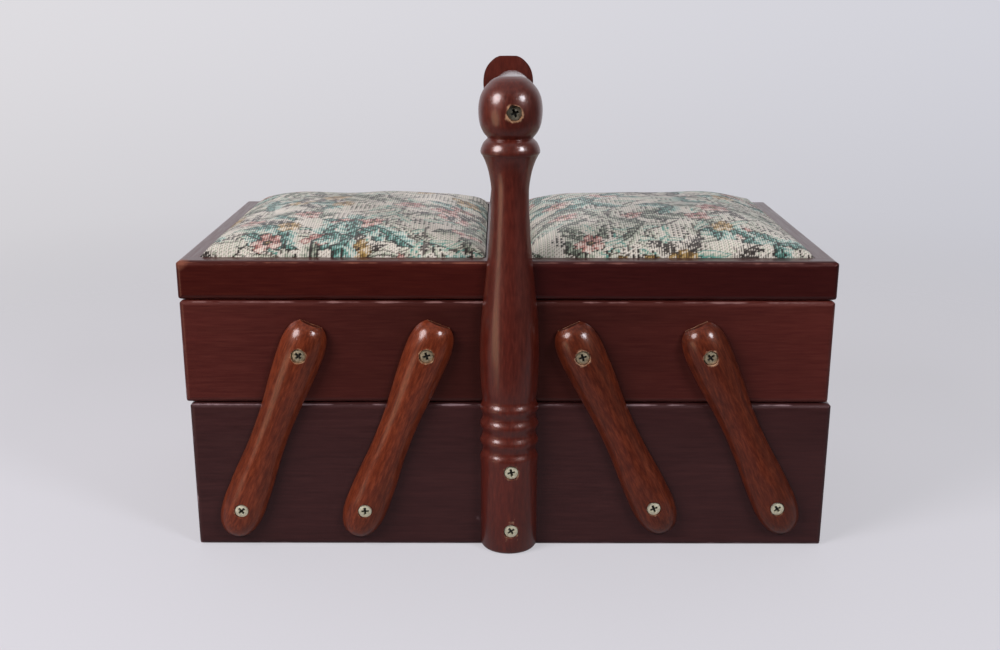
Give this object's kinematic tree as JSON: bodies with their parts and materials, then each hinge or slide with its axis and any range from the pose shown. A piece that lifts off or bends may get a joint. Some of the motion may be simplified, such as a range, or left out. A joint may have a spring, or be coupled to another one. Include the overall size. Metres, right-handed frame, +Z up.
{
  "type": "sewing carrier",
  "caption": "Wooden sewing carrier: a base box under swing-out trays on split-turned arms, with padded lids and a turned carrying handle.",
  "frame": {"origin": "middle of the base box in width and depth, on its underside, at the surface it stands on", "axes": "+X along the width to the right as seen from the front, +Y to the back, +Z up"},
  "size_m": [0.3581, 0.2124, 0.259],
  "materials": {
    "base_wood": "satin",
    "tray_wood": "satin",
    "lid_wood": "satin",
    "arm_wood": "satin",
    "post_wood": "gloss",
    "plywood": "matte",
    "steel": "satin",
    "brass": "satin",
    "cover_fabric": "matte",
    "pad_foam": "matte"
  },
  "bodies": {
    "base": {"base_front_board": "base_wood", "base_back_board": "base_wood", "base_left_end": "base_wood", "base_right_end": "base_wood", "base_floor": "plywood", "front_post": "post_wood", "back_post": "post_wood", "handle_bar": "post_wood", "post_screws": "steel", "base_pivot_screws": "steel", "base_pivot_washers": "steel"},
    "left_outer_arms": {"left_outer_arm_front": "arm_wood", "left_outer_arm_back": "arm_wood"},
    "left_inner_arms": {"left_inner_arm_front": "arm_wood", "left_inner_arm_back": "arm_wood"},
    "left_tray": {"left_tray_front": "tray_wood", "left_tray_back": "tray_wood", "left_tray_outer_end": "tray_wood", "left_tray_inner_end": "tray_wood", "left_tray_floor": "plywood", "left_tray_divider": "tray_wood", "left_tray_pivot_screws": "steel", "left_tray_pivot_washers": "steel", "left_tray_hinge_leaves": "brass", "left_tray_hinge_screws": "brass", "left_hinge_pins": "brass"},
    "left_lid": {"left_lid_front_rail": "lid_wood", "left_lid_back_rail": "lid_wood", "left_lid_outer_rail": "lid_wood", "left_lid_inner_rail": "lid_wood", "left_lid_board": "plywood", "left_lid_pad": "pad_foam", "left_lid_cover": "cover_fabric", "left_lid_hinge_leaves": "brass", "left_lid_hinge_screws": "brass"},
    "right_outer_arms": {"right_outer_arm_front": "arm_wood", "right_outer_arm_back": "arm_wood"},
    "right_inner_arms": {"right_inner_arm_front": "arm_wood", "right_inner_arm_back": "arm_wood"},
    "right_tray": {"right_tray_front": "tray_wood", "right_tray_back": "tray_wood", "right_tray_outer_end": "tray_wood", "right_tray_inner_end": "tray_wood", "right_tray_floor": "plywood", "right_tray_divider": "tray_wood", "right_tray_pivot_screws": "steel", "right_tray_pivot_washers": "steel", "right_tray_hinge_leaves": "brass", "right_tray_hinge_screws": "brass", "right_hinge_pins": "brass"},
    "right_lid": {"right_lid_front_rail": "lid_wood", "right_lid_back_rail": "lid_wood", "right_lid_outer_rail": "lid_wood", "right_lid_inner_rail": "lid_wood", "right_lid_board": "plywood", "right_lid_pad": "pad_foam", "right_lid_cover": "cover_fabric", "right_lid_hinge_leaves": "brass", "right_lid_hinge_screws": "brass"}
  },
  "joints": [
    {"name": "left_outer_swing", "type": "hinge", "parent": "base", "child": "left_outer_arms", "pos_m": [-0.1481, 0, 0.0244], "axis": [0, -1, 0], "range_deg": [0, 43]},
    {"name": "left_inner_swing", "type": "hinge", "parent": "base", "child": "left_inner_arms", "pos_m": [-0.0801, 0, 0.0244], "axis": [0, -1, 0], "range_deg": [0, 43]},
    {"name": "left_tray_level", "type": "hinge", "parent": "left_outer_arms", "child": "left_tray", "pos_m": [-0.11284, 0, 0.11391], "axis": [0, 1, 0], "range_deg": [0, 43]},
    {"name": "left_lid_hinge", "type": "hinge", "parent": "left_tray", "child": "left_lid", "pos_m": [-0.1794, 0, 0.14205], "axis": [0, -1, 0], "range_deg": [0, 190]},
    {"name": "right_outer_swing", "type": "hinge", "parent": "base", "child": "right_outer_arms", "pos_m": [0.147, 0, 0.0262], "axis": [0, 1, 0], "range_deg": [0, 50.4]},
    {"name": "right_inner_swing", "type": "hinge", "parent": "base", "child": "right_inner_arms", "pos_m": [0.079, 0, 0.0262], "axis": [0, 1, 0], "range_deg": [0, 50.4]},
    {"name": "right_tray_level", "type": "hinge", "parent": "right_outer_arms", "child": "right_tray", "pos_m": [0.10604, 0, 0.11324], "axis": [0, -1, 0], "range_deg": [0, 50.4]},
    {"name": "right_lid_hinge", "type": "hinge", "parent": "right_tray", "child": "right_lid", "pos_m": [0.1755, 0, 0.14205], "axis": [0, 1, 0], "range_deg": [0, 190]}
  ],
  "couplings": [
    {"joint": "left_inner_swing", "follows": "left_outer_swing", "ratio": 1},
    {"joint": "left_tray_level", "follows": "left_outer_swing", "ratio": 1},
    {"joint": "right_inner_swing", "follows": "right_outer_swing", "ratio": 1},
    {"joint": "right_tray_level", "follows": "right_outer_swing", "ratio": 1}
  ]
}
